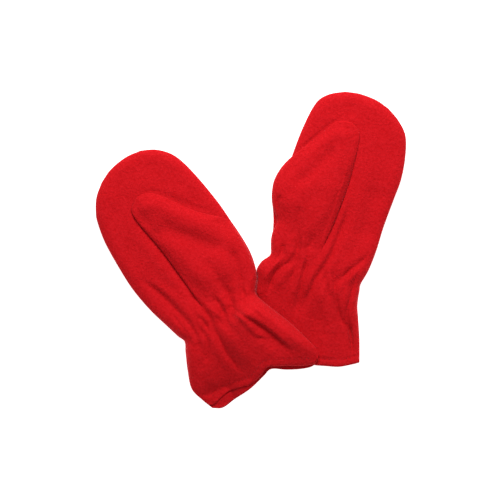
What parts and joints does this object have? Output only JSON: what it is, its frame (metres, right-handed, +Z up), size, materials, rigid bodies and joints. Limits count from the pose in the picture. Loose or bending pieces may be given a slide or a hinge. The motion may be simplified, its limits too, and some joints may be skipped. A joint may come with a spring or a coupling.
{
  "type": "pair of fleece mittens",
  "caption": "Pair of fleece pull-on mittens lying palm up, thumbs folded over the palms, elasticated wrists, flared hemmed cuffs, the cuffs overlapping.",
  "frame": {"origin": "centre of the pair's footprint, on the surface it lies on", "axes": "+Z up out of the palms, +Y towards the fingertips, +X from the right-hand mitten to the left-hand one"},
  "size_m": [0.3082, 0.3178, 0.0289],
  "materials": {
    "fleece": "brushed pile",
    "elastic": "woven, matt",
    "thread": "matt"
  },
  "bodies": {
    "left_mitten": {"left_palm_panel": "fleece", "left_back_panel": "fleece", "left_thumb_base": "fleece", "left_wrist_elastic": "elastic", "left_side_seam": "thread", "left_hem_stitch": "thread", "left_elastic_stitch": "thread"},
    "left_thumb": {"left_thumb_front": "fleece", "left_thumb_back": "fleece", "left_thumb_seam": "thread"},
    "right_mitten": {"right_palm_panel": "fleece", "right_back_panel": "fleece", "right_thumb_base": "fleece", "right_wrist_elastic": "elastic", "right_side_seam": "thread", "right_hem_stitch": "thread", "right_elastic_stitch": "thread"},
    "right_thumb": {"right_thumb_front": "fleece", "right_thumb_back": "fleece", "right_thumb_seam": "thread"}
  },
  "joints": [
    {"name": "left_thumb_fold", "type": "hinge", "parent": "left_mitten", "child": "left_thumb", "pos_m": [0.05394, 0.04481, 0.0234], "axis": [0.3294, -0.9442, 0], "range_deg": [0, 90]},
    {"name": "right_thumb_fold", "type": "hinge", "parent": "right_mitten", "child": "right_thumb", "pos_m": [-0.03301, -0.01494, 0.0234], "axis": [0.2414, 0.9704, 0], "range_deg": [0, 90]},
    {"name": "right_mitten_lift", "type": "slide", "parent": "left_mitten", "child": "right_mitten", "axis": [0, 0, 1], "range_m": [0, 0.08]}
  ]
}
